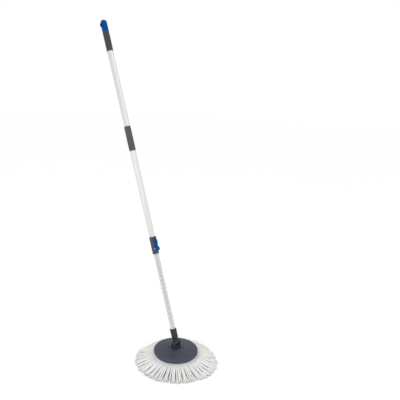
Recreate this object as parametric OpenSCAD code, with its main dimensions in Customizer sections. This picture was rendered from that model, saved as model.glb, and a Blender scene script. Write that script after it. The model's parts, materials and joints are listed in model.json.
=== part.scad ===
// Spin mop: a telescopic pump handle that turns its own round head, with a clip-on strand pad.
// Millimetres, +Z up. The origin is the centre of the mouth of the wringer socket, under the disc.
// The strands stand on a floor at z = -strand_drop. The handle leans towards +Y about the X axis.

/* [Handle] */
// Lean of the handle from upright, in degrees
lean = 20; // [0:1:60]
// Outer diameter of the two fixed upper tubes
outer_tube_d = 23; // [22.5:0.5:24]
// Outer diameter of the sliding lower tube
lower_tube_d = 19.5; // [18:0.5:19.5]
// Wall thickness of every tube
tube_wall = 0.8; // [0.6:0.1:0.8]
// Length of lower tube that shows between the socket and the lock
lower_show = 304; // [200:1:400]
// Length of tube that shows between the lock and the middle grip
middle_show = 348; // [348:1:420]
// Length of tube that shows between the two grips
upper_show = 305; // [200:1:400]

/* [Grips and cap] */
// Outer diameter of both grips
grip_d = 26; // [25:0.5:30]
// Length of the ribbed middle grip
middle_grip_len = 99; // [90:1:150]
// Length of the top grip
top_grip_len = 77; // [60:1:150]
// Length of the hanging cap above the top grip
cap_len = 50; // [44:1:60]
// Diameter of the hanging cap
cap_d = 26; // [25.5:0.5:30]
// Radius of the hanging hole
eye_r = 5; // [4:0.5:5]

/* [Lock] */
// Length of the lock housing
housing_len = 69; // [69:1:80]
// Outer diameter of the lock housing
housing_d = 25.5; // [25:0.5:26]
// Direction that the lever faces around the handle, in degrees
lever_turn = -90; // [-180:1:180]
// Width of the lever
lever_w = 16; // [14:0.5:16]

/* [Spin drive] */
// Height that the twisted bar climbs in one full turn
bar_pitch = 120; // [80:10:200]
// Width of the twisted bar
bar_w = 8; // [6:0.5:8]
// Thickness of the twisted bar
bar_t = 2; // [1.5:0.1:2.2]

/* [Head] */
// Diameter of the round disc
disc_d = 174; // [174:1:190]
// Height of the tilt axis above the origin
pivot_z = 46; // [45:1:50]
// Gap between the two ears of the yoke
yoke_gap = 19; // [18:0.5:20]
// Thickness of each ear
ear_t = 6; // [4:0.5:6]
// Radius of the wringer socket's bore
wringer_r = 12; // [10:0.5:12]
// Depth of the wringer socket's bore
wringer_depth = 10; // [8:0.5:12]

/* [Pad] */
// Diameter across the spread strands
strand_d = 330; // [280:5:360]
// Height of the origin above the floor that the strands stand on
strand_drop = 28; // [20:1:35]
// Number of strand bundles, each threaded through its own hole
bundles = 20; // [20]
// Outer diameter of the pad's ring
ring_d = 165; // [165:1:167]

/* [Hidden] */
$fn = 96;
fit = 0.05;
slide_fit = 0.1;
free_gap = 0.3;
over = 1;

outer_r = outer_tube_d / 2;
outer_in = outer_r - tube_wall;
lower_r = lower_tube_d / 2;
lower_in = lower_r - tube_wall;
grip_r = grip_d / 2;
cap_r = cap_d / 2;
housing_r = housing_d / 2;

// Heights along the handle, from the tilt axis
socket_z = 17;
tube_seat = 24;
socket_top = 56;
housing_z = socket_top + lower_show;
tube_start = housing_z + housing_len;
spigot_len = 31.9;
carriage_z = tube_start + spigot_len + 0.1;
middle_grip_z = tube_start + middle_show;
joint_z = middle_grip_z + middle_grip_len / 2;
top_grip_z = middle_grip_z + middle_grip_len + upper_show;
cap_z = top_grip_z + top_grip_len;
eye_z = cap_len - 22;
eye_lip = 9;
eye_far = 12;
eye_near = 14.5;

// Lock, in heights above the housing's lower end and radii from the handle's axis
housing_bore = lower_r + 0.65;
bush_z = 1;
bush_len = 24;
window_z = 29;
window_in = 8;
shoulder_z = 57.5;
hinge_w = lever_w - 5;
lever_pin_u = 12.3;
lever_pin_z = 65.5;
lever_pin_r = 1.1;
barrel_r = 2.1;
lever_in = 10.2;
bow_r = 34;
bow_out = 16.8;
bow_mid = 49.5;
waist_z = 33;
lug_w = 2;
pad_slot_z = 39;
pad_back = 12;
pad_len = 12;
pad_w = 9;
screw_z = 20.5;
screw_turn = -43;
screw_sink = 0.6;

// Spin drive, in heights along the handle
neck_r = lower_r - 0.75;
neck_len = 12;
cup_r = 7.2;
cup_floor = carriage_z - 10;
nut_z = cup_floor + 1.5;
nut_t = 3;
dogs = 8;
bar_foot = carriage_z - 22;
anchor_z = middle_grip_z + 3;
anchor_len = 18;
rivet_z = anchor_z + 13;
connector_len = 54;
rivet_r = 1.6;
spring_r = 5.9;
spring_wire = 0.5;
spring_turns = 4;

// Head and pad, in heights above the origin
disc_r = disc_d / 2;
disc_t = 3;
disc_top = 26;
rim_top = 18;
rim_bottom = 7;
crown_r = 22;
hub_r = 33.5;
boss_r = 20;
hub_plate_z = 14;
screw_r = 15.5;
head_r = 2.8;
shank_r = 1.5;
seat_z = 8.5;
screw_top = 35;
ear_r = 10;
pin_r = 4;
yoke_base = 12;
yoke_depth = 30;
plate_z = 3;
plate_t = 3;
ring_r = ring_d / 2;
ring_in = 34;
tabs = 8;
hole_r = 4;
hole_ring_r = 72;
bundle_in = 45;
bundle_gap = 1;

BUNDLE_NODES = [for (i = [1:bundles]) str("strand_bundle_", i)];
PIECES = [
    "hang_cap", "top_grip", "upper_tube", "tube_connector", "middle_grip", "middle_tube",
    "spiral_bar", "bar_anchor", "anchor_rivet", "bar_stop",
    "lock_housing", "tube_bush", "bush_screws", "lever_pin", "lock_lever", "brake_pad",
    "guide_bush", "lower_tube", "clutch_cup", "drive_nut", "clutch_spring", "clutch_cap",
    "socket", "socket_rivet", "yoke", "tilt_pin", "disc_plate", "hub", "yoke_screws",
    "mop_ring"
];

// Places a child at a height along the leaning handle
module along_handle(height) {
    translate([0, 0, pivot_z]) rotate([-lean, 0, 0]) translate([0, 0, height]) children();
}

// Places a child in the lock's frame: +X out through the lever, +Z up the handle
module in_lock() {
    along_handle(housing_z) rotate([0, 0, lever_turn]) children();
}

// A sleeve with broken outer edges
module sleeve(outer, inner, length, edge = 0.4) {
    rotate_extrude()
        polygon([
            [inner, 0], [outer - edge, 0], [outer, edge],
            [outer, length - edge], [outer - edge, length], [inner, length]
        ]);
}

// A rod along X, centred
module rod_x(radius, length) {
    rotate([0, 90, 0]) cylinder(r = radius, h = length, center = true);
}

// A rod along Y, centred
module rod_y(radius, length) {
    rotate([90, 0, 0]) cylinder(r = radius, h = length, center = true);
}

// A flat outline in the X-Z plane given a thickness along Y
module slab(thickness) {
    rotate([90, 0, 0]) linear_extrude(thickness, center = true) children();
}

// A box centred in Y, from x and z, sized [x, y, z]
module block(x, z, size) {
    translate([x, -size[1] / 2, z]) cube(size);
}

module hang_cap() {
    plug_len = 30;
    color([0.04, 0.32, 0.6]) along_handle(cap_z) difference() {
        union() {
            cylinder(r = cap_r, h = cap_len - cap_r);
            translate([0, 0, cap_len - cap_r]) sphere(r = cap_r);
            translate([0, 0, -plug_len]) cylinder(r = outer_in - fit, h = plug_len + over);
            translate([-eye_near / 2, 0, eye_z]) rod_x(eye_lip, eye_near);
            translate([eye_far / 2, 0, eye_z]) rod_x(eye_r + 1, eye_far);
        }
        translate([0, 0, eye_z]) rod_x(eye_r, cap_d + 10);
        translate([0, 0, -plug_len - over]) cylinder(r = outer_in - 2.5, h = plug_len);
    }
}

module top_grip() {
    color([0.28, 0.28, 0.29]) along_handle(top_grip_z) sleeve(grip_r, outer_r, top_grip_len, 0.9);
}

module upper_tube() {
    color([0.93, 0.93, 0.93]) along_handle(joint_z) sleeve(outer_r, outer_in, cap_z - joint_z, 0.2);
}

module tube_connector() {
    color([0.6, 0.6, 0.62]) along_handle(joint_z - connector_len / 2)
        sleeve(outer_in - fit, outer_in - 1.8, connector_len);
}

module middle_grip() {
    ribs = 24;
    rib_r = 0.8;
    plain_end = 4;
    color([0.34, 0.35, 0.38]) along_handle(middle_grip_z) difference() {
        union() {
            sleeve(grip_r - 0.5, outer_r, middle_grip_len);
            for (i = [0:ribs - 1]) rotate([0, 0, i * 360 / ribs])
                translate([grip_r - rib_r, 0, plain_end])
                    cylinder(r = rib_r, h = middle_grip_len - 2 * plain_end);
        }
        cylinder(r = outer_r, h = middle_grip_len);
    }
}

module middle_tube() {
    color([0.93, 0.93, 0.93]) difference() {
        along_handle(tube_start) sleeve(outer_r, outer_in, joint_z - tube_start - 0.5, 0.2);
        along_handle(rivet_z) rod_x(rivet_r, outer_tube_d + 2 * over);
    }
}

module spiral_bar() {
    length = anchor_z + 10 - bar_foot;
    color([0.7, 0.7, 0.72]) along_handle(bar_foot)
        linear_extrude(length, twist = -360 * length / bar_pitch, slices = ceil(length / 3), $fn = 8)
            square([bar_w, bar_t], center = true);
}

module bar_anchor() {
    color([0.2, 0.2, 0.22]) difference() {
        along_handle(anchor_z) cylinder(r = outer_in - fit, h = anchor_len);
        along_handle(rivet_z) rod_x(rivet_r, outer_tube_d);
    }
}

module anchor_rivet() {
    color([0.75, 0.75, 0.77]) along_handle(rivet_z) rod_x(rivet_r, outer_tube_d - 0.4);
}

module bar_stop() {
    color([0.7, 0.7, 0.72]) along_handle(bar_foot) cylinder(r = lower_in - 2.4, h = 4);
}

module lock_housing() {
    slot_w = lever_w + 2 * free_gap;
    hinge_slot_w = hinge_w + 2 * free_gap;
    color([0.3, 0.3, 0.32]) in_lock() difference() {
        union() {
            sleeve(housing_r, lower_r + slide_fit, housing_len, 0.8);
            translate([0, 0, housing_len - over]) cylinder(r = outer_in - fit, h = spigot_len + over);
            for (side = [-1, 1]) translate([0, side * (hinge_slot_w + lug_w) / 2, 0]) {
                translate([lever_pin_u, 0, lever_pin_z]) rod_y(barrel_r, lug_w);
                slab(lug_w) polygon([
                    [window_in, shoulder_z], [lever_pin_u - 0.8, shoulder_z + 0.3],
                    [lever_pin_u + barrel_r, lever_pin_z - 1], [lever_pin_u, lever_pin_z + barrel_r],
                    [window_in, housing_len - 0.5]
                ]);
            }
        }
        translate([0, 0, -over]) cylinder(r = lower_r + slide_fit, h = housing_len + spigot_len + 2 * over);
        translate([0, 0, -over]) cylinder(r = housing_bore, h = bush_z + bush_len + over);
        block(window_in, window_z, [12, slot_w, shoulder_z - window_z]);
        block(window_in, window_z, [12, hinge_slot_w, housing_len - window_z]);
        lever_pin_place() rod_y(lever_pin_r, 30);
        bush_screw_places() {
            cylinder(r = 1.2, h = 30, center = true);
            translate([0, 0, -screw_sink]) cylinder(r = 3.8, h = 4);
        }
    }
}

module lever_pin_place() {
    translate([lever_pin_u, 0, lever_pin_z]) children();
}

// Both screws that hold the bush, with +Z pointing out of the housing
module bush_screw_places() {
    for (half = [0, 180]) rotate([0, 0, screw_turn + half]) translate([housing_r, 0, screw_z])
        rotate([0, 90, 0]) children();
}

module tube_bush() {
    color([0.85, 0.85, 0.83]) in_lock() translate([0, 0, bush_z]) difference() {
        sleeve(housing_bore, lower_r + fit, bush_len - over, 0.1);
        translate([0, 0, -bush_z]) bush_screw_places() cylinder(r = 1.2, h = 30, center = true);
    }
}

module bush_screws() {
    reach = housing_r - lower_r - 0.3;
    color([0.5, 0.5, 0.52]) in_lock() bush_screw_places() {
        translate([0, 0, -reach]) cylinder(r = 1.2, h = reach);
        translate([0, 0, -screw_sink]) cylinder(r1 = 3.5, r2 = 2.6, h = screw_sink + 0.9);
    }
}

module lever_pin() {
    color([0.75, 0.75, 0.77]) in_lock() lever_pin_place()
        rod_y(lever_pin_r, hinge_w + 2 * (free_gap + lug_w));
}

// The lever's bowed back, at a height in the lock's frame
function bow_point(z) = [bow_out - bow_r + sqrt(bow_r ^ 2 - (z - bow_mid) ^ 2), z];

// The lever's outline from the front, tapered from its full width to its hinge
module lever_front() {
    full = lever_w / 2;
    narrow = hinge_w / 2;
    taper_top = shoulder_z - 0.4;
    taper_foot = taper_top - 4;
    rotate([90, 0, 90]) linear_extrude(40) polygon([
        [-full, 0], [full, 0], [full, taper_foot], [narrow, taper_top],
        [narrow, housing_len], [-narrow, housing_len], [-narrow, taper_top], [-full, taper_foot]
    ]);
}

module lock_lever() {
    hinge_end = [[lever_in, lever_pin_z], [lever_pin_u + barrel_r, lever_pin_z]];
    back = [for (z = [62.5:-2.5:waist_z]) bow_point(z)];
    tab = [
        [13.3, 30], [16.5, 26], [20.8, 21], [22, 19], [21.6, 16.6],
        [15.4, 11], [14.2, 10.2], [13.4, 11.2], [13.4, 29.4], [lever_in, 29.6]
    ];
    color([0.04, 0.32, 0.6]) in_lock() difference() {
        intersection() {
            union() {
                slab(lever_w) polygon(concat(hinge_end, back, tab));
                lever_pin_place() rod_y(barrel_r, hinge_w);
            }
            lever_front();
        }
        lever_pin_place() rod_y(lever_pin_r + fit, lever_w);
        block(0, pad_slot_z, [pad_back, pad_w, pad_len]);
    }
}

module brake_pad() {
    color([0.1, 0.1, 0.1]) in_lock() difference() {
        block(lower_r - 2, pad_slot_z, [pad_back + 2 - lower_r, pad_w, pad_len]);
        cylinder(r = lower_r + slide_fit, h = housing_len);
    }
}

module guide_bush() {
    color([0.85, 0.85, 0.83]) along_handle(carriage_z + 0.5)
        sleeve(outer_in - slide_fit, neck_r + fit, neck_len - 1, 0.2);
}

module lower_tube() {
    color([0.88, 0.88, 0.89]) difference() {
        along_handle(tube_seat) sleeve(lower_r, lower_in, carriage_z - tube_seat, 0.2);
        along_handle(40) rod_y(2, lower_tube_d + 2 * over);
    }
}

// A ring of drive dogs, raised along Z
module dog_ring(height) {
    for (i = [0:dogs - 1]) rotate([0, 0, i * 360 / dogs])
        rotate_extrude(angle = 160 / dogs) translate([5, 0]) square([cup_r - 5.2, height]);
}

module clutch_cup() {
    color([0.2, 0.2, 0.22]) along_handle(cup_floor) {
        difference() {
            union() {
                translate([0, 0, -6]) cylinder(r = lower_in - fit, h = 16);
                translate([0, 0, 10]) cylinder(r = neck_r, h = neck_len);
            }
            cylinder(r = cup_r, h = 10 + neck_len + over);
            translate([0, 0, -7]) cylinder(r = bar_w / 2 + 0.8, h = 10);
        }
        translate([0, 0, -fit]) dog_ring(1.2);
    }
}

module drive_nut() {
    color([0.85, 0.85, 0.83]) along_handle(nut_z) {
        slot_turn = 360 * (nut_z + nut_t / 2 - bar_foot) / bar_pitch;
        difference() {
            cylinder(r = cup_r - 0.2, h = nut_t);
            rotate([0, 0, slot_turn]) cube([bar_w + 0.8, bar_t + 1.2, 3 * nut_t], center = true);
        }
        translate([0, 0, -1.2]) rotate([0, 0, 180 / dogs]) dog_ring(1.2 + fit);
    }
}

// Rings of points along a round wire's helix
function helix_point(t, height) = [
    spring_r * cos(360 * spring_turns * t), spring_r * sin(360 * spring_turns * t), height * t
];
function helix_ring(t, height, sides) = [
    for (k = [0:sides - 1])
        let (a = 360 * k / sides, turn = 360 * spring_turns * t)
        helix_point(t, height)
            + spring_wire * [cos(a) * cos(turn), cos(a) * sin(turn), sin(a)]
];

module clutch_spring() {
    sides = 8;
    steps = 24 * spring_turns;
    height = carriage_z + neck_len - 3 - nut_z - nut_t - 2 * spring_wire;
    points = [for (s = [0:steps]) each helix_ring(s / steps, height, sides)];
    walls = [
        for (s = [0:steps - 1], k = [0:sides - 1])
            let (a = s * sides + k, b = s * sides + (k + 1) % sides)
            [a, a + sides, b + sides, b]
    ];
    start_cap = [for (k = [0:sides - 1]) k];
    end_cap = [for (k = [sides - 1:-1:0]) steps * sides + k];
    color([0.72, 0.72, 0.74]) along_handle(nut_z + nut_t + spring_wire)
        polyhedron(points, concat(walls, [start_cap, end_cap]), convexity = 6);
}

module clutch_cap() {
    color([0.2, 0.2, 0.22]) along_handle(carriage_z + neck_len) difference() {
        union() {
            cylinder(r = lower_r, h = 2.5);
            translate([0, 0, -3]) cylinder(r = cup_r - fit, h = 3 + over);
        }
        cylinder(r = bar_w / 2 + 0.8, h = 12, center = true);
    }
}

module socket() {
    tongue_w = yoke_gap - 2 * free_gap;
    color([0.25, 0.25, 0.26]) along_handle(0) difference() {
        union() {
            rotate_extrude() polygon([
                [0, socket_z], [10.4, socket_z], [12.4, 20], [12.8, 50], [13.4, 51],
                [13.4, socket_top - 0.8], [12.6, socket_top], [0, socket_top]
            ]);
            rod_x(9, tongue_w);
            intersection() {
                translate([-tongue_w / 2, -8, 0]) cube([tongue_w, 16, 21]);
                cylinder(r = 11, h = 30);
            }
        }
        translate([0, 0, tube_seat]) cylinder(r = lower_r, h = socket_top);
        rod_x(pin_r + fit, 40);
        translate([0, 0, 40]) rod_y(2, 40);
    }
}

module socket_rivet() {
    color([0.6, 0.6, 0.62]) along_handle(40) rod_y(2, 25);
}

// Repeats a child at the four screws that join the hub, the disc and the yoke
module at_yoke_screws() {
    for (i = [0:3]) rotate([0, 0, 45 + 90 * i]) translate([screw_r, 0, 0]) children();
}

module yoke() {
    width = yoke_gap + 2 * ear_t;
    color([0.2, 0.21, 0.23]) difference() {
        union() {
            intersection() {
                block(-width / 2, disc_top, [width, yoke_depth, yoke_base]);
                cylinder(r = 20, h = 60);
            }
            for (side = [-1, 1]) translate([side * (yoke_gap + ear_t) / 2, 0, 0]) {
                translate([0, 0, pivot_z]) rod_x(ear_r, ear_t);
                block(-ear_t / 2, disc_top + 1, [ear_t, 2 * ear_r, pivot_z - disc_top - 1]);
            }
        }
        translate([0, 0, pivot_z]) rod_x(pin_r, width + 2 * over);
        translate([0, 0, pivot_z]) rod_x(ear_r - 0.4, yoke_gap);
        at_yoke_screws() cylinder(r = shank_r, h = screw_top);
    }
}

module tilt_pin() {
    width = yoke_gap + 2 * ear_t;
    color([0.35, 0.35, 0.37]) translate([0, 0, pivot_z]) {
        rod_x(pin_r, width + 1.4);
        translate([-(width + 1.4) / 2 - 0.2, 0, 0]) rod_x(pin_r + 1.4, 1.4);
    }
}

module disc_plate() {
    edge = 1.6;
    ribs = 8;
    slot_turn = 128;
    color([0.31, 0.33, 0.38]) difference() {
        union() {
            rotate_extrude() polygon([
                [0, disc_top], [crown_r, disc_top], [disc_r - edge, rim_top], [disc_r, rim_top - edge],
                [disc_r, rim_bottom], [disc_r - 2.5, rim_bottom], [disc_r - 2.5, rim_top - disc_t],
                [crown_r, disc_top - disc_t], [0, disc_top - disc_t]
            ]);
            for (i = [0:ribs - 1]) rotate([0, 0, i * 360 / ribs]) slab(2) polygon([
                [38, 13], [48, 9.5], [disc_r - 2, 9.5], [disc_r - 2, rim_top - disc_t + 1], [38, 22]
            ]);
        }
        at_yoke_screws() cylinder(r = shank_r, h = 40);
        for (half = [0, 180]) rotate([0, 0, slot_turn + half]) translate([29, 0, 0]) {
            cylinder(r = 2, h = 40);
            translate([-2, -4, 0]) cube([4, 8, 40]);
        }
    }
}

module hub() {
    color([0.33, 0.34, 0.37]) difference() {
        rotate_extrude() polygon([
            [0, 0], [boss_r, 0], [boss_r, hub_plate_z], [hub_r - 3.5, hub_plate_z], [hub_r - 3.5, 0],
            [hub_r - 0.8, 0], [hub_r, 0.8], [hub_r, hub_plate_z + 3], [boss_r, hub_plate_z + 3],
            [boss_r, disc_top - disc_t], [0, disc_top - disc_t]
        ]);
        translate([0, 0, -over]) cylinder(r = wringer_r, h = wringer_depth + over);
        at_yoke_screws() {
            cylinder(r = shank_r, h = 40);
            translate([0, 0, -over]) cylinder(r = head_r + 0.2, h = seat_z + over);
        }
    }
}

module yoke_screws() {
    color([0.7, 0.7, 0.72]) at_yoke_screws() {
        translate([0, 0, seat_z - 2.5]) cylinder(r = head_r, h = 2.5);
        translate([0, 0, seat_z - over]) cylinder(r = shank_r, h = screw_top - 1 - seat_z + over);
    }
}

module mop_ring() {
    tab_angle = 0.62 * 360 / tabs;
    color([0.6, 0.62, 0.65]) difference() {
        union() {
            rotate_extrude() polygon([
                [ring_in, plate_z], [ring_r, plate_z], [ring_r, plate_z + 5], [ring_r - 2.5, plate_z + 5],
                [ring_r - 3, plate_z + plate_t], [ring_in, plate_z + plate_t]
            ]);
            for (i = [0:tabs - 1]) rotate([0, 0, i * 360 / tabs])
                rotate_extrude(angle = tab_angle) translate([ring_in + 0.5, plate_z + plate_t - over])
                    square([2.4, 6.5]);
        }
        for (i = [0:bundles - 1]) rotate([0, 0, i * 360 / bundles]) translate([hole_ring_r, 0, 0])
            cylinder(r = hole_r, h = 20);
    }
}

module strand_bundle(index) {
    sector = 360 / bundles - bundle_gap;
    strand_r = strand_d / 2;
    color([0.92, 0.92, 0.9]) rotate([0, 0, (index - 1) * 360 / bundles - sector / 2])
        rotate_extrude(angle = sector) polygon([
            [bundle_in, -strand_drop], [strand_r, -strand_drop], [strand_r, 3 - strand_drop],
            [disc_r, plate_z], [bundle_in, plate_z]
        ]);
}

hang_cap();
top_grip();
upper_tube();
tube_connector();
middle_grip();
middle_tube();
spiral_bar();
bar_anchor();
anchor_rivet();
bar_stop();
lock_housing();
tube_bush();
bush_screws();
lever_pin();
lock_lever();
brake_pad();
guide_bush();
lower_tube();
clutch_cup();
drive_nut();
clutch_spring();
clutch_cap();
socket();
socket_rivet();
yoke();
tilt_pin();
disc_plate();
hub();
yoke_screws();
mop_ring();
for (i = [1:bundles])
    strand_bundle(i);
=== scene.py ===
"""Looks of the spin mop: camera, studio, materials, moulded pieces, grips and yarn strands.

Lengths are in metres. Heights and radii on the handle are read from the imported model, along the
handle's axis, which runs from the tilt pivot up through the hanging cap.
"""

import json
import math

import bpy
import numpy as np
from mathutils import Matrix, Vector


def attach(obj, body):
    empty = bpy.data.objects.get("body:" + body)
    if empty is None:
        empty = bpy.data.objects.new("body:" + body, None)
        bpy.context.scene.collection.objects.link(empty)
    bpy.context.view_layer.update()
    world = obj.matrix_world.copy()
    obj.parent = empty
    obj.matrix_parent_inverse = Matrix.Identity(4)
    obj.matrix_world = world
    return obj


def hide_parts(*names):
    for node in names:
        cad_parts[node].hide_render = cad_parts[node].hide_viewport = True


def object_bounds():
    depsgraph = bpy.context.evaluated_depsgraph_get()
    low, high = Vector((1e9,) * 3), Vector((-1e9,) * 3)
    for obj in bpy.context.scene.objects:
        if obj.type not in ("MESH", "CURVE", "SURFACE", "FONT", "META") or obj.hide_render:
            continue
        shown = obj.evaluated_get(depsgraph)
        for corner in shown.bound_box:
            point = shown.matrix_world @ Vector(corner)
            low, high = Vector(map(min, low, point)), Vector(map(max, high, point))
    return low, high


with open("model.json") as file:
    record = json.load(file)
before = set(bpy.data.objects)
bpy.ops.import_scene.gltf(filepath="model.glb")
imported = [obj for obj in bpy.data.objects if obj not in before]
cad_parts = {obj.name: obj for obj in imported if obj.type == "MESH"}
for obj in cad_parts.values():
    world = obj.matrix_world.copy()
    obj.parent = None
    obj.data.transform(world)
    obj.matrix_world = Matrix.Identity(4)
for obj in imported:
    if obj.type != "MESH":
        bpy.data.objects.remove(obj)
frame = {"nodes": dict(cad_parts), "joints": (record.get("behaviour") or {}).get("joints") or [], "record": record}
cad_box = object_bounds()

MM = 0.001
NODES = frame["nodes"]
RECORD = frame["record"]
JOINTS = {joint["name"]: joint for joint in frame["joints"]}
SLOT_OF = {part["node"]: part["material_slot"] for part in RECORD["subparts"]}
BODY_OF = {name: body for body, names in RECORD["behaviour"]["bodies"].items() for name in names}

# The handle's frame: origin at the tilt pivot, X along the tilt pin, Z up the handle
PIVOT = Vector(JOINTS["head_tilt"]["pos_m"])
UP_HANDLE = -Vector(JOINTS["handle_pump"]["axis"]).normalized()
SIDE = Vector((1, 0, 0))
BACK = UP_HANDLE.cross(SIDE)
HANDLE = Matrix.Translation(PIVOT) @ Matrix((SIDE, BACK, UP_HANDLE)).transposed().to_4x4()
LEAN = math.atan2(UP_HANDLE.y, UP_HANDLE.z)
FLOOR_Z = cad_box[0].z

ROOM_LIGHT = 0.62

# The camera: turned from +Y, looking down, and rolled, in degrees; then its lens in millimetres
CAMERA_TURN, CAMERA_DIP, CAMERA_ROLL = -52.46, 12.57, 2.97
CAMERA_LENS = 40.14
# Where it stands, in metres: to its right and behind the origin, and above the floor
CAMERA_RIGHT, CAMERA_BEHIND, CAMERA_HEIGHT = 0.0652, 1.5999, 1.0123


def srgb(red, green, blue):
    """A colour given on the 0-255 display scale, as linear RGBA."""
    def linear(c):
        c /= 255
        return c / 12.92 if c <= 0.04045 else ((c + 0.055) / 1.055) ** 2.4
    return (linear(red), linear(green), linear(blue), 1.0)


def shaded(color, factor):
    return tuple(min(1.0, c * factor) for c in color[:3]) + (1.0,)


# ---------------------------------------------------------------- shader helpers

def new_material(name):
    material = bpy.data.materials.new(name)
    material.use_nodes = True
    tree = material.node_tree
    return material, tree, tree.nodes["Principled BSDF"]


def add_node(tree, kind, **inputs):
    """A new node with its inputs set. A value that is a socket is linked."""
    made = tree.nodes.new(kind)
    for key, value in inputs.items():
        slot = made.inputs[key.replace("_", " ")]
        if isinstance(value, bpy.types.NodeSocket):
            tree.links.new(value, slot)
        else:
            slot.default_value = value
    return made


def handle_place(tree, stretch=1.0):
    """Object coordinates turned to the handle's frame and stretched along it."""
    place = tree.nodes.new("ShaderNodeTexCoord").outputs["Object"]
    mapping = add_node(tree, "ShaderNodeMapping", Vector=place)
    mapping.vector_type = "TEXTURE"
    mapping.inputs["Rotation"].default_value = (-LEAN, 0, 0)
    mapping.inputs["Scale"].default_value = (1, 1, stretch)
    return mapping.outputs["Vector"]


def noise(tree, place, scale, detail=3.0):
    return add_node(tree, "ShaderNodeTexNoise", Vector=place, Scale=scale, Detail=detail).outputs["Fac"]


def ramp(tree, factor, low, high, start=0.3, end=0.7):
    """A colour ramp between two colours, or two grey levels."""
    made = add_node(tree, "ShaderNodeValToRGB", Fac=factor)
    stops = made.color_ramp.elements
    stops[0].position, stops[1].position = start, end
    for stop, level in zip(stops, (low, high)):
        stop.color = level if isinstance(level, tuple) else (level, level, level, 1)
    return made.outputs["Color"]


def blend_colors(tree, factor, first, second, mode="MIX"):
    mix = tree.nodes.new("ShaderNodeMix")
    mix.data_type = "RGBA"
    mix.blend_type = mode
    for value, slot in ((factor, mix.inputs[0]), (first, mix.inputs[6]), (second, mix.inputs[7])):
        if isinstance(value, bpy.types.NodeSocket):
            tree.links.new(value, slot)
        else:
            slot.default_value = value
    return mix.outputs[2]


def multiply(tree, first, second):
    product = add_node(tree, "ShaderNodeMath")
    product.operation = "MULTIPLY"
    tree.links.new(first, product.inputs[0])
    tree.links.new(second, product.inputs[1])
    return product.outputs[0]


def edges_of(tree, width):
    """A mask that is bright along edges, from how far a rounded normal leans from the true one."""
    rounded = tree.nodes.new("ShaderNodeBevel")
    rounded.samples = 4
    rounded.inputs["Radius"].default_value = width
    lean = tree.nodes.new("ShaderNodeVectorMath")
    lean.operation = "DOT_PRODUCT"
    tree.links.new(rounded.outputs["Normal"], lean.inputs[0])
    tree.links.new(tree.nodes.new("ShaderNodeNewGeometry").outputs["Normal"], lean.inputs[1])
    return ramp(tree, lean.outputs["Value"], 1.0, 0.0, 0.90, 0.985), rounded.outputs["Normal"]


def add_bump(tree, shader, height, strength, distance, normal=None):
    bump = add_node(tree, "ShaderNodeBump", Height=height, Strength=strength, Distance=distance)
    if normal is not None:
        tree.links.new(normal, bump.inputs["Normal"])
    tree.links.new(bump.outputs["Normal"], shader.inputs["Normal"])


# ---------------------------------------------------------------- materials

def plastic(name, color, rough, grain=0.2, wear=0.5, gloss=0.5):
    """Moulded plastic: fine spark grain, slow colour drift, handling polish and paler, worn edges."""
    material, tree, shader = new_material(name)
    place = handle_place(tree)
    edge, rounded = edges_of(tree, 0.5 * MM)
    drift = ramp(tree, noise(tree, place, 24.0), shaded(color, 0.86), shaded(color, 1.14))
    scuffs = ramp(tree, noise(tree, place, 170.0, 5.0), 0.0, wear, 0.45, 0.68)
    worn = tuple(min(1.0, c * 1.6 + 0.03) for c in color[:3]) + (1.0,)
    scuffed = blend_colors(tree, multiply(tree, edge, scuffs), drift, worn)
    tree.links.new(scuffed, shader.inputs["Base Color"])
    polish = ramp(tree, noise(tree, place, 50.0, 4.0), rough - 0.06, rough + 0.08)
    tree.links.new(polish, shader.inputs["Roughness"])
    shader.inputs["Specular IOR Level"].default_value = gloss
    add_bump(tree, shader, noise(tree, place, 1500.0, 2.0), grain, 0.15 * MM, rounded)
    return material


def rubber(name, color):
    """Soft grip rubber: matt, dusty, with a fine grain and a little sheen."""
    material, tree, shader = new_material(name)
    place = handle_place(tree)
    drift = ramp(tree, noise(tree, place, 40.0, 5.0), shaded(color, 0.78), shaded(color, 1.2))
    dust = ramp(tree, noise(tree, place, 420.0, 4.0), 0.0, 0.25, 0.55, 0.75)
    dusty = blend_colors(tree, dust, drift, shaded(color, 2.2))
    tree.links.new(dusty, shader.inputs["Base Color"])
    tree.links.new(ramp(tree, noise(tree, place, 90.0), 0.5, 0.72), shader.inputs["Roughness"])
    shader.inputs["Sheen Weight"].default_value = 0.08
    shader.inputs["Sheen Roughness"].default_value = 0.5
    add_bump(tree, shader, noise(tree, place, 2000.0, 2.0), 0.4, 0.15 * MM)
    return material


def tube_paint(name, color, metallic, rough):
    """Pale enamel on a drawn tube: faint draw lines along it, orange peel and a few scuffs."""
    material, tree, shader = new_material(name)
    place = handle_place(tree)
    lines = noise(tree, handle_place(tree, 90.0), 1100.0, 2.0)
    scuffs = ramp(tree, noise(tree, handle_place(tree, 3.0), 260.0, 6.0), 1.0, 0.93, 0.6, 0.74)
    drift = ramp(tree, lines, shaded(color, 0.96), shaded(color, 1.02))
    tree.links.new(blend_colors(tree, 1.0, drift, scuffs, "MULTIPLY"), shader.inputs["Base Color"])
    polish = ramp(tree, noise(tree, place, 90.0, 5.0), rough - 0.03, rough + 0.05)
    tree.links.new(polish, shader.inputs["Roughness"])
    shader.inputs["Metallic"].default_value = metallic
    shader.inputs["Coat Weight"].default_value = 0.25
    shader.inputs["Coat Roughness"].default_value = 0.15
    add_bump(tree, shader, noise(tree, place, 700.0, 2.0), 0.04, 0.2 * MM)
    return material


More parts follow.
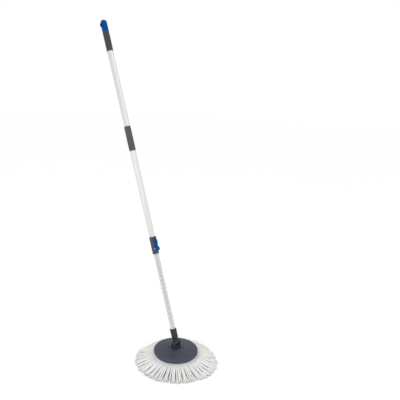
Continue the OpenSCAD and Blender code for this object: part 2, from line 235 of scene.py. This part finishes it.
def steel(name, color, rough):
    """Turned or drawn steel: bright, with fine tool lines and dull patches."""
    material, tree, shader = new_material(name)
    dull = noise(tree, handle_place(tree), 140.0, 4.0)
    lines = noise(tree, handle_place(tree, 20.0), 2200.0, 2.0)
    tree.links.new(ramp(tree, dull, shaded(color, 0.72), color), shader.inputs["Base Color"])
    tree.links.new(ramp(tree, dull, rough + 0.15, rough), shader.inputs["Roughness"])
    shader.inputs["Metallic"].default_value = 1.0
    add_bump(tree, shader, lines, 0.15, 0.1 * MM, edges_of(tree, 0.25 * MM)[1])
    return material


def yarn(name, color):
    """Microfibre yarn: off-white, each strand a little different, fuzzy, with painted shade greying it towards its
    tip.
    """
    material, tree, shader = new_material(name)
    place = tree.nodes.new("ShaderNodeTexCoord").outputs["Object"]
    tint, painted_tip_shade = tree.nodes.new("ShaderNodeAttribute"), tree.nodes.new("ShaderNodeAttribute")
    tint.attribute_name, painted_tip_shade.attribute_name = "tint", "painted_tip_shade"
    strand = ramp(tree, tint.outputs["Fac"], shaded(color, 0.9), color, 0.0, 1.0)
    # Painted shade: towards a strand's tip its colour blends to a darker grey, standing in for the shadow among
    # the tips.
    strand = blend_colors(tree, painted_tip_shade.outputs["Fac"], strand, shaded(color, 0.7))
    mottle = ramp(tree, noise(tree, place, 240.0, 4.0), 0.9, 1.0)
    tree.links.new(blend_colors(tree, 1.0, strand, mottle, "MULTIPLY"), shader.inputs["Base Color"])
    tree.links.new(ramp(tree, noise(tree, place, 700.0), 0.85, 1.0), shader.inputs["Roughness"])
    shader.inputs["Specular IOR Level"].default_value = 0.2
    shader.inputs["Sheen Weight"].default_value = 0.25
    shader.inputs["Sheen Roughness"].default_value = 0.6
    add_bump(tree, shader, noise(tree, place, 1500.0, 4.0), 0.7, 0.5 * MM)
    return material


def make_materials():
    """One procedural material for each slot of the record."""
    return {
        "blue_plastic": plastic("blue_plastic", srgb(0, 72, 132), 0.3, 0.05, 0.1, 0.05),
        "soft_grip": rubber("soft_grip", srgb(46, 47, 49)),
        "ribbed_grip": rubber("ribbed_grip", srgb(72, 74, 80)),
        "brake_rubber": rubber("brake_rubber", srgb(30, 30, 30)),
        "white_tube": tube_paint("white_tube", srgb(218, 218, 217), 0.35, 0.3),
        "silver_tube": tube_paint("silver_tube", srgb(207, 207, 208), 0.6, 0.26),
        "bright_steel": steel("bright_steel", srgb(200, 200, 204), 0.25),
        "dark_steel": steel("dark_steel", srgb(120, 121, 126), 0.35),
        "grey_plastic": plastic("grey_plastic", srgb(60, 61, 72), 0.42),
        "black_plastic": plastic("black_plastic", srgb(42, 44, 51), 0.4, 0.15, 0.2, 0.3),
        "slate_plastic": plastic("slate_plastic", srgb(54, 59, 75), 0.4),
        "ring_plastic": plastic("ring_plastic", srgb(132, 138, 145), 0.42),
        "white_acetal": plastic("white_acetal", srgb(214, 214, 209), 0.35, 0.08, 0.1),
        "mop_yarn": yarn("mop_yarn", srgb(234, 235, 233)),
    }


# ---------------------------------------------------------------- studio

def add_camera():
    """A 40 mm lens at chest height, turned 52 degrees round from +Y, looking down and a little rolled."""
    azimuth, pitch, roll = (math.radians(a) for a in (CAMERA_TURN, CAMERA_DIP, CAMERA_ROLL))
    ahead = Vector((-math.sin(azimuth), math.cos(azimuth), 0))
    right = Vector((math.cos(azimuth), math.sin(azimuth), 0))
    data = bpy.data.cameras.new("camera")
    data.lens = CAMERA_LENS
    data.sensor_width = 36
    camera = bpy.data.objects.new("camera", data)
    height = Vector((0, 0, FLOOR_Z + CAMERA_HEIGHT))
    camera.location = right * CAMERA_RIGHT - ahead * CAMERA_BEHIND + height
    look = ahead * math.cos(pitch) - Vector((0, 0, math.sin(pitch)))
    level = look.to_track_quat("-Z", "Y").to_matrix()
    camera.rotation_euler = (level @ Matrix.Rotation(roll, 3, "Z")).to_euler()
    bpy.context.scene.collection.objects.link(camera)
    bpy.context.scene.camera = camera


def aim(light, place, target):
    light.location = place
    light.rotation_euler = (Vector(target) - Vector(place)).to_track_quat("-Z", "Y").to_euler()
    bpy.context.scene.collection.objects.link(light)


def add_strip_light(name, place, target, size, watts):
    """A tall soft box. It gives the tubes their long highlights."""
    data = bpy.data.lights.new(name, "AREA")
    data.shape = "RECTANGLE"
    data.size, data.size_y = size
    data.energy = watts
    aim(bpy.data.objects.new(name, data), place, target)


def add_wide_light(name, place, target, strength, spread):
    """An even light over the whole floor, with the soft shadow of a large source."""
    data = bpy.data.lights.new(name, "SUN")
    data.energy = strength
    data.angle = math.radians(spread)
    aim(bpy.data.objects.new(name, data), place, target)


def add_floor():
    """A wide sheet of matt white paper under the strands."""
    half = 20
    corners = [(-half, -half, 0), (half, -half, 0), (half, half, 0), (-half, half, 0)]
    mesh = bpy.data.meshes.new("floor")
    mesh.from_pydata(corners, [], [(0, 1, 2, 3)])
    floor = bpy.data.objects.new("floor", mesh)
    floor.location.z = FLOOR_Z
    bpy.context.scene.collection.objects.link(floor)
    material, _, shader = new_material("floor_paper")
    shader.inputs["Base Color"].default_value = (0.96, 0.96, 0.96, 1)
    shader.inputs["Roughness"].default_value = 0.95
    shader.inputs["Specular IOR Level"].default_value = 0.1
    mesh.materials.append(material)


def add_studio():
    """A white studio: a dimmer room round the object, white paper behind it, and soft lights."""
    scene = bpy.context.scene
    scene.view_settings.view_transform = "Standard"
    world = bpy.data.worlds.new("studio")
    world.use_nodes = True
    tree = world.node_tree
    room = tree.nodes["Background"]
    room.inputs["Color"].default_value = (1, 1, 1, 1)
    room.inputs["Strength"].default_value = ROOM_LIGHT
    paper = add_node(tree, "ShaderNodeBackground", Color=(1, 1, 1, 1), Strength=1.0)
    mix = tree.nodes.new("ShaderNodeMixShader")
    tree.links.new(tree.nodes.new("ShaderNodeLightPath").outputs["Is Camera Ray"], mix.inputs[0])
    tree.links.new(room.outputs[0], mix.inputs[1])
    tree.links.new(paper.outputs[0], mix.inputs[2])
    tree.links.new(mix.outputs[0], tree.nodes["World Output"].inputs["Surface"])
    scene.world = world
    middle = (0, 0.2, 0.6)
    add_wide_light("key", (-1.7, 0.5, 3.0), middle, 1.0, 50)
    add_wide_light("fill", (0.6, -1.8, 2.4), middle, 0.8, 60)
    add_strip_light("left_strip", (-2.0, -0.3, 1.05), (0, 0.25, 0.75), (0.35, 0.6), 5)
    add_strip_light("right_strip", (0.9, -1.9, 0.4), (0, 0.1, 0.4), (0.35, 0.8), 1.5)
    add_floor()


# ---------------------------------------------------------------- mesh helpers

def new_piece(name, vertices, faces, materials, body, slot):
    """A smooth-shaded piece that rides on a body."""
    mesh = bpy.data.meshes.new(name)
    mesh.from_pydata(vertices, [], faces)
    mesh.validate()
    return finish_piece(name, mesh, materials, body, slot)


def finish_piece(name, mesh, materials, body, slot):
    mesh.materials.clear()
    mesh.materials.append(materials[slot])
    mesh.shade_smooth()
    piece = bpy.data.objects.new(name, mesh)
    bpy.context.scene.collection.objects.link(piece)
    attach(piece, body)
    return piece


def points_of(mesh):
    points = np.empty(len(mesh.vertices) * 3)
    mesh.vertices.foreach_get("co", points)
    return points.reshape(-1, 3)


def to_handle(points):
    """World points in the handle's frame."""
    turn = np.array(HANDLE.to_3x3())
    return (points - np.array(PIVOT)) @ turn


def from_handle(points):
    turn = np.array(HANDLE.to_3x3())
    return points @ turn.T + np.array(PIVOT)


def span_on_handle(name):
    """A node's lowest and highest point along the handle, and its inner and outer radius."""
    local = to_handle(points_of(NODES[name].data))
    radius = np.hypot(local[:, 0], local[:, 1])
    return local[:, 2].min(), local[:, 2].max(), radius.min(), radius.max()


def dress_cad_nodes(materials):
    """Gives every CAD node the material of its slot."""
    for name, slot in SLOT_OF.items():
        mesh = NODES[name].data
        mesh.materials.clear()
        mesh.materials.append(materials[slot])


def moulded(name, node, materials, voxel, rounds, reshape=None, extras=()):
    """A CAD node as the mould would give it: its edges rounded and its inner corners filleted.

    The node's mesh, with any raised details added, is remeshed evenly and smoothed a little.
    """
    source = NODES[node].data
    vertices = [tuple(v.co) for v in source.vertices]
    faces = [tuple(p.vertices) for p in source.polygons]
    for extra_vertices, extra_faces in extras:
        base = len(vertices)
        vertices += [tuple(v) for v in extra_vertices]
        faces += [tuple(base + i for i in face) for face in extra_faces]
    mesh = bpy.data.meshes.new(name + "_blank")
    mesh.from_pydata(vertices, [], faces)
    blank = bpy.data.objects.new(name + "_blank", mesh)
    bpy.context.scene.collection.objects.link(blank)
    remesh = blank.modifiers.new("remesh", "REMESH")
    remesh.mode = "VOXEL"
    remesh.voxel_size = voxel
    smooth = blank.modifiers.new("smooth", "SMOOTH")
    smooth.factor = 0.5
    smooth.iterations = rounds
    evaluated = blank.evaluated_get(bpy.context.evaluated_depsgraph_get())
    result = bpy.data.meshes.new_from_object(evaluated)
    result.name = name
    bpy.data.objects.remove(blank)
    bpy.data.meshes.remove(mesh)
    if reshape:
        result.vertices.foreach_set("co", reshape(points_of(result)).ravel())
    piece = finish_piece(name, result, materials, BODY_OF[node], SLOT_OF[node])
    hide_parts(node)
    return piece


def rod(start, end, radius, sides=16):
    """Vertices and faces of a closed round bar between two points."""
    start, end = Vector(start), Vector(end)
    axis = (end - start).normalized()
    across = axis.orthogonal().normalized()
    over = axis.cross(across)
    angles = np.linspace(0, 2 * math.pi, sides, endpoint=False)
    ring = [across * math.cos(a) + over * math.sin(a) for a in angles]
    vertices = [start + r * radius for r in ring] + [end + r * radius for r in ring]
    faces = [(i, (i + 1) % sides, sides + (i + 1) % sides, sides + i) for i in range(sides)]
    return vertices, faces + [tuple(range(sides - 1, -1, -1)), tuple(range(sides, 2 * sides))]


def sleeve(name, node, materials, outline, sides, groove):
    """A grip sleeve on the handle, turned from an outline of (radius, height) pairs.

    groove(angle, share) gives how far the outer skin sinks there; share is the height up the sleeve
    from 0 to 1. The bore follows the CAD sleeve's own.
    """
    low, high, inner, _ = span_on_handle(node)
    angles = np.linspace(0, 2 * math.pi, sides, endpoint=False)
    rings = []
    for radius, height in outline:
        reach = np.full(sides, radius)
        if radius > inner + 0.1 * MM:
            reach = radius - groove(angles, (height - low) / (high - low))
        ring = [reach * np.cos(angles), reach * np.sin(angles), np.full(sides, height)]
        rings.append(np.stack(ring, axis=1))
    count = len(rings)
    faces = [(k * sides + i, k * sides + (i + 1) % sides,
              (k + 1) % count * sides + (i + 1) % sides, (k + 1) % count * sides + i)
             for k in range(count) for i in range(sides)]
    points = from_handle(np.vstack(rings))
    piece = new_piece(name, points.tolist(), faces, materials, BODY_OF[node], SLOT_OF[node])
    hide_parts(node)
    return piece


def sleeve_outline(low, high, inner, outer, lip, steps):
    """A sleeve's outline with rounded ends, from the bore's foot round the outside and back."""
    quarter = np.linspace(0, math.pi / 2, 6)
    corner = [(outer - lip + lip * math.sin(a), low + lip - lip * math.cos(a)) for a in quarter]
    side = [(outer, h) for h in np.linspace(low + lip, high - lip, steps)[1:-1]]
    crown = [(outer - lip + lip * math.cos(a), high - lip + lip * math.sin(a)) for a in quarter]
    return [(inner, low)] + corner + side + crown + [(inner, high)]


# ---------------------------------------------------------------- handle pieces

def build_grips(materials):
    """The smooth top grip with faint flutes, and the ribbed middle grip."""
    low, high, inner, outer = span_on_handle("top_grip")

    def flutes(angle, share):
        fade = min(1.0, share / 0.08, (1 - share) / 0.08)
        return (0.22 * MM) * max(0.0, fade) * (0.5 - 0.5 * np.cos(28 * angle))

    outline = sleeve_outline(low, high, inner, outer, 0.9 * MM, 40)
    sleeve("top_grip_sleeve", "top_grip", materials, outline, 224, flutes)

    low, high, inner, outer = span_on_handle("middle_grip")

    def ribs(angle, share):
        fade = float(np.clip(min(share - 0.04, 0.96 - share) / 0.02, 0, 1))
        return (0.75 * MM) * (1 - fade * np.clip(0.5 + 0.9 * np.cos(24 * angle), 0, 1))

    outline = sleeve_outline(low, high, inner, outer, 0.6 * MM, 60)
    sleeve("middle_grip_sleeve", "middle_grip", materials, outline, 240, ribs)


def build_lever(materials):
    """The blue lever: a crowned back, rounded sides and ridges for the thumb on its tab."""
    local = to_handle(points_of(NODES["lock_lever"].data))
    out, side, low, high = -local[:, 1], local[:, 0], local[:, 2].min(), local[:, 2].max()
    half = side.max()
    inner, outer = out.min(), out.max()

    def crown(points):
        shape = to_handle(points)
        depth = np.clip((-shape[:, 1] - inner) / (outer - inner), 0, 1)
        shape[:, 1] += 1.3 * MM * depth * (shape[:, 0] / half) ** 2
        return from_handle(shape)

    ridges = []
    ridge_half, ridge_r = half * 0.75, 0.55 * MM
    for k in range(3):
        reach = outer - (4.9 - 1.4 * k) * MM
        height = low + (14.9 - 1.6 * k) * MM
        ends = [from_handle(np.array([x, -reach, height])) for x in (-ridge_half, ridge_half)]
        ridges.append(rod(ends[0], ends[1], ridge_r))
    moulded("lever", "lock_lever", materials, 0.4 * MM, 3, crown, ridges)


def build_moulded_parts(materials):
    """The plastic parts that keep their CAD shape, with softened edges."""
    moulded("cap", "hang_cap", materials, 0.5 * MM, 4)
    moulded("socket_body", "socket", materials, 0.5 * MM, 3)
    moulded("yoke_body", "yoke", materials, 0.5 * MM, 3)
    moulded("disc", "disc_plate", materials, 0.9 * MM, 3)
    moulded("hub_body", "hub", materials, 0.7 * MM, 2)
    moulded("pad_ring", "mop_ring", materials, 0.7 * MM, 2)


# ---------------------------------------------------------------- strands

BUNDLES = 20
UPPER, LOWER = 5, 5
STRANDS = UPPER + LOWER
YARN_R = 3.1 * MM
HOLE_RING_R = 72 * MM
# The loops that show in each hole: how far to each side of its middle, and how thick
LOOP_SIDE = 1.55 * MM
LOOP_R = 1.5 * MM
STATIONS = np.arange(84, 178, 3) * MM
# How far the strands reach out, at every twelfth of a turn from +X
REACHES = np.array([155, 155, 153, 137, 164, 165, 167, 166, 168, 178, 175, 159]) * MM
# Where the upper strands start to fall from the rim, and over how much radius they reach the floor
FALL_START, FALL_RUN = 88 * MM, 78 * MM
# Under the ring, before the first station: radius and height above the origin
UPPER_NECK = np.array([(66, -2.2), (72, -0.8), (78, -0.4)]) * MM
LOWER_NECK = np.array([(71, -4.5), (67, -9), (66, -14), (70, -19), (77, -22)]) * MM


def reach_at(angle):
    turn = (angle / (2 * math.pi) * len(REACHES)) % len(REACHES)
    return np.interp(turn, np.arange(len(REACHES) + 1), np.append(REACHES, REACHES[0]))


def ceiling_at(radius):
    """How high above the floor a strand's middle may lie: under the ring, then up under the rim."""
    return (np.interp(radius, [82 * MM, 84 * MM, 86 * MM, 88 * MM], [27.9, 28.3, 30.2, 31.3])) * MM


def lay_strands(rng):
    """The angle, and the height above the floor, of every strand at every station.

    Upper strands leave the ring's edge side by side and fall to the floor at their tips. Lower ones
    lie on the floor from under the ring, and fill the gaps that open as the strands fan out.
    """
    count = BUNDLES * STRANDS
    bundle, seat = np.divmod(np.arange(count), STRANDS)
    upper = seat < UPPER
    share = np.where(upper, (seat + 0.5) / UPPER, (seat - UPPER + 1.0) / LOWER)
    start = (bundle + share - 0.5) * 2 * math.pi / BUNDLES + rng.normal(0, 0.005, count)
    end = start + rng.normal(0, 0.02, count)
    order = np.argsort(start)
    first = 0
    while first < count:
        clump = order[first:first + rng.integers(2, 6)]
        end[clump] += 0.55 * (end[clump].mean() - end[clump])
        first += len(clump)
    travel = (STATIONS - STATIONS[0]) / (STATIONS[-1] - STATIONS[0])
    angle = start[:, None] + (end - start)[:, None] * travel ** 1.2
    wave = rng.uniform(0, 2 * math.pi, count)[:, None] + rng.uniform(3.0, 6.0, count)[:, None] * travel
    angle += rng.uniform(0.002, 0.012, count)[:, None] * (np.sin(wave) - np.sin(wave[:, :1])) * travel ** 0.7
    tip = np.where(upper, rng.uniform(4.5, 8.5, count) * MM, YARN_R)
    crest = ceiling_at(STATIONS)
    fall = np.clip((STATIONS - FALL_START) / FALL_RUN, 0, 1)
    over = crest + (tip[:, None] - crest) * fall ** 1.1
    under = rng.uniform(4.0, 20.0, count)[:, None] * MM * np.clip(1 - 2.5 * travel, 0, 1) + YARN_R
    height = np.where(upper[:, None], over, under)
    settle(angle, height)
    return angle, height


def settle(angle, height, rounds=80):
    """Pushes overlapping strands apart at each station and lets them sink, keeping them smooth."""
    spacing = 2 * YARN_R * 0.92
    for _ in range(rounds):
        for k, radius in enumerate(STATIONS):
            turn = angle[:, k][:, None] - angle[:, k][None, :]
            dx = radius * ((turn + math.pi) % (2 * math.pi) - math.pi)
            dz = height[:, k][:, None] - height[:, k][None, :]
            gap = np.hypot(dx, dz) + 1e-9
            push = np.clip(spacing - gap, 0, None) * 0.3
            np.fill_diagonal(push, 0)
            angle[:, k] += np.clip((push * dx / gap).sum(1), -1.2 * MM, 1.2 * MM) / radius
            height[:, k] += np.clip((push * dz / gap).sum(1), -1.2 * MM, 1.2 * MM) - 0.08 * MM
        np.clip(height, YARN_R, ceiling_at(STATIONS), out=height)
        angle[:, 1:-1] += 0.3 * (0.5 * (angle[:, :-2] + angle[:, 2:]) - angle[:, 1:-1])
        height[:, 1:-1] += 0.3 * (0.5 * (height[:, :-2] + height[:, 2:]) - height[:, 1:-1])


def smooth_path(points, spacing):
    """Points at an even spacing along a Catmull-Rom curve, and the length up to each."""
    p = np.vstack([2 * points[0] - points[1], points, 2 * points[-1] - points[-2]])
    t = np.linspace(0, 1, 8, endpoint=False)[:, None]
    fine = [0.5 * (2 * b + (c - a) * t
                   + (2 * a - 5 * b + 4 * c - d) * t ** 2
                   + (3 * b - a - 3 * c + d) * t ** 3)
            for a, b, c, d in zip(p[:-3], p[1:-2], p[2:-1], p[3:])]
    fine = np.vstack(fine + [points[-1:]])
    along = np.concatenate([[0], np.cumsum(np.linalg.norm(np.diff(fine, axis=0), axis=1))])
    even = np.linspace(0, along[-1], max(3, int(along[-1] / spacing) + 1))
    return np.stack([np.interp(even, along, fine[:, i]) for i in range(3)], axis=1), even


class Tuft:
    """The mesh of one bundle, built up yarn by yarn."""

    SIDES = 12
    PLIES = 4

    def __init__(self):
        self.vertices, self.faces, self.tint, self.painted_tip_shade = [], [], [], []
        self.count = 0

    def add(self, points, along, radius, sideways, twist, tint, painted_tip_shade):
        """Adds a twisted yarn swept along a path. Its cross-sections keep level with sideways."""
        tangent = np.gradient(points, axis=0)
        tangent /= np.linalg.norm(tangent, axis=1)[:, None]
        across = sideways - (tangent @ sideways)[:, None] * tangent
        across /= np.linalg.norm(across, axis=1)[:, None]
        over = np.cross(across, tangent)
        around = 2 * math.pi * np.arange(self.SIDES) / self.SIDES
        lobes = np.cos(self.PLIES * around[None, :] + 2 * math.pi * along[:, None] / (6.5 * MM) + twist)
        lumps = (0.05 * np.sin(along / (1.9 * MM) + 2 * twist)
                 + 0.04 * np.sin(along / (0.83 * MM) + 5 * twist))
        reach = radius[:, None] * (1 + 0.08 * lobes + lumps[:, None])
        rings = (points[:, None, :] + across[:, None, :] * (reach * np.cos(around))[:, :, None]
                 + over[:, None, :] * (reach * np.sin(around))[:, :, None])
        step = self.count + np.arange(len(points) - 1)[:, None] * self.SIDES
        a = (step + np.arange(self.SIDES)).ravel()
        b = (step + (np.arange(self.SIDES) + 1) % self.SIDES).ravel()
        self.faces += np.stack([a, b, b + self.SIDES, a + self.SIDES], axis=1).tolist()
        last = self.count + (len(points) - 1) * self.SIDES
        self.faces += [list(range(self.count + self.SIDES - 1, self.count - 1, -1)),
                       list(range(last, last + self.SIDES))]
        self.vertices.append(rings.reshape(-1, 3))
        self.tint.append(np.full(len(points) * self.SIDES, tint))
        # Per-point painted shade for the tips, read by the yarn material.
        self.painted_tip_shade.append(np.repeat(painted_tip_shade, self.SIDES))
        self.count += len(points) * self.SIDES

    def make(self, name, materials, node):
        piece = new_piece(name, np.vstack(self.vertices).tolist(), self.faces, materials, "pad", "mop_yarn")
        for attribute, values in (("tint", self.tint), ("painted_tip_shade", self.painted_tip_shade)):
            layer = piece.data.attributes.new(attribute, "FLOAT", "POINT")
            layer.data.foreach_set("value", np.concatenate(values))
        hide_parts(node)


def around_axis(radius, angle, height):
    return np.stack([radius * np.cos(angle), radius * np.sin(angle), height], axis=-1)


def add_strand(tuft, rng, hole, upper, angles, heights):
    """One strand: under the ring, past its edge and out over the floor."""
    neck = UPPER_NECK if upper else LOWER_NECK
    gather = np.linspace(0.8, 1.0, len(neck))
    neck_angles = hole + (angles[0] - hole) * gather
    reach = reach_at(angles[-1]) - rng.uniform(0, 8) * MM - (0 if upper else 5 * MM)
    kept = STATIONS < reach
    route = np.vstack([
        around_axis(neck[:, 0], neck_angles, neck[:, 1]),
        around_axis(STATIONS[kept], angles[kept], FLOOR_Z + heights[kept]),
    ])
    points, along = smooth_path(route, 1.5 * MM)
    rest = along[-1] - along
    radius = YARN_R * rng.uniform(0.93, 1.07) * np.clip(0.55 + along / (40 * MM), 0, 1)
    radius *= np.sqrt(np.clip((rest + 0.3 * MM) / (3.5 * MM), 0.02, 1))
    radius *= np.sqrt(np.clip((along + 0.3 * MM) / (2.0 * MM), 0.05, 1))
    points[:, 2] = np.maximum(points[:, 2], FLOOR_Z + 1.18 * radius)
    sideways = np.array([-math.sin(angles[0]), math.cos(angles[0]), 0])
    # Painted shade, strongest at the tip and fading out over the last 12 mm of the strand.
    painted_tip_shade = 0.7 * np.clip(1 - rest / (12 * MM), 0, 1)
    tuft.add(points, along, radius, sideways, rng.uniform(0, 2 * math.pi), rng.uniform(0, 1), painted_tip_shade)


def add_loops(tuft, rng, hole):
    """The two loops of yarn that show in the hole through the ring."""
    outward = np.array([math.cos(hole), math.sin(hole), 0])
    sideways = np.array([-math.sin(hole), math.cos(hole), 0])
    middle = HOLE_RING_R * outward
    for side in (-LOOP_SIDE, LOOP_SIDE):
        top = 6.6 + rng.uniform(0, 0.6)
        arch = [(-1.7, -2), (-1.7, 2.5), (-1.3, 5.2), (0, top), (1.3, 5.2), (1.7, 2.5), (1.7, -2)]
        start = middle + side * sideways
        route = np.array([start + x * MM * outward + (0, 0, z * MM) for x, z in arch])
        points, along = smooth_path(route, 0.9 * MM)
        radius = np.full(len(points), LOOP_R)
        # The loops get no painted tip shade.
        no_tip_shade = np.zeros(len(points))
        tuft.add(points, along, radius, sideways, rng.uniform(0, 2 * math.pi), rng.uniform(0, 1), no_tip_shade)


def build_strands(materials):
    """The 20 bundles of yarn, each on its own hole of the ring."""
    rng = np.random.default_rng(7)
    angle, height = lay_strands(rng)
    for i in range(BUNDLES):
        hole = 2 * math.pi * i / BUNDLES
        tuft = Tuft()
        add_loops(tuft, rng, hole)
        for j in range(STRANDS):
            strand = i * STRANDS + j
            add_strand(tuft, rng, hole, j < UPPER, angle[strand], height[strand])
        tuft.make(f"yarn_bundle_{i + 1}", materials, f"strand_bundle_{i + 1}")


# ---------------------------------------------------------------- build

add_camera()
add_studio()
materials = make_materials()
dress_cad_nodes(materials)
build_grips(materials)
build_lever(materials)
build_moulded_parts(materials)
build_strands(materials)
